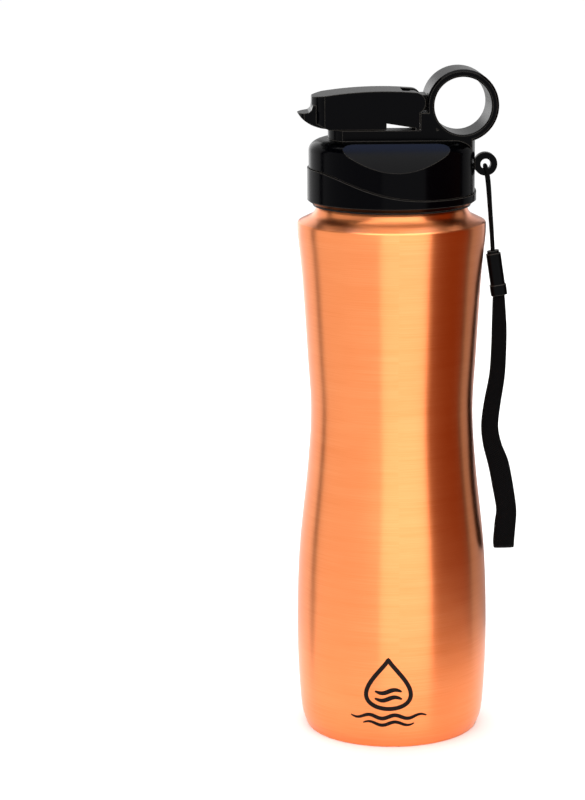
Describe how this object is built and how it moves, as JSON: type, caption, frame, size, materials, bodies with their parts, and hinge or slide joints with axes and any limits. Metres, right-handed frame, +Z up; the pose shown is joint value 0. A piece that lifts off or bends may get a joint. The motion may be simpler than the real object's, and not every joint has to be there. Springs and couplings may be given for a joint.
{
  "type": "copper water bottle",
  "caption": "Waisted copper water bottle with a screw-on sipper cap, flip lid over a spout, carry ring and wrist strap.",
  "frame": {"origin": "centre of the base, on the surface the bottle stands on", "axes": "+Z up along the bottle's axis; the lid's thumb lip points to -X, the carry ring and the strap are on the +X side"},
  "size_m": [0.0864, 0.0746, 0.2595],
  "materials": {
    "copper": "satin, brushed round the axis, clear lacquered copper",
    "silicone": "soft matt silicone",
    "cap_plastic": "glossy black injection-moulded plastic",
    "spout_plastic": "satin dark plastic",
    "steel": "ground",
    "cord": "braided black nylon",
    "ferrule_plastic": "matt black moulding",
    "webbing": "woven black nylon tape"
  },
  "bodies": {
    "bottle": {"body_shell": "copper", "base_disc": "copper", "neck_ring": "copper"},
    "gasket": {"neck_gasket": "silicone"},
    "cap": {"cap_skirt": "cap_plastic", "cap_cover": "cap_plastic", "spout": "spout_plastic", "spout_seal": "silicone", "vent_valve": "silicone", "hinge_pin": "steel"},
    "lid": {"flip_lid": "cap_plastic", "lid_plug": "silicone"},
    "strap": {"strap_cord": "cord", "strap_ferrule": "ferrule_plastic", "strap_webbing": "webbing"}
  },
  "joints": [
    {"name": "cap_lift", "type": "slide", "parent": "bottle", "child": "gasket", "axis": [0, 0, 1], "range_m": [0, 0.01601]},
    {"name": "cap_turn", "type": "hinge", "parent": "gasket", "child": "cap", "pos_m": [0, 0, 0.213], "axis": [0, 0, 1], "range_deg": [0, 1440]},
    {"name": "lid_hinge", "type": "hinge", "parent": "cap", "child": "lid", "pos_m": [0.008, 0, 0.247], "axis": [0, 1, 0], "range_deg": [0, 100]},
    {"name": "strap_swing", "type": "hinge", "parent": "cap", "child": "strap", "pos_m": [0.036, 0, 0.2222], "axis": [0, -1, 0], "range_deg": [0, 120]}
  ],
  "couplings": [
    {"joint": "cap_lift", "follows": "cap_turn", "m_per_rad": 0.00063662}
  ]
}
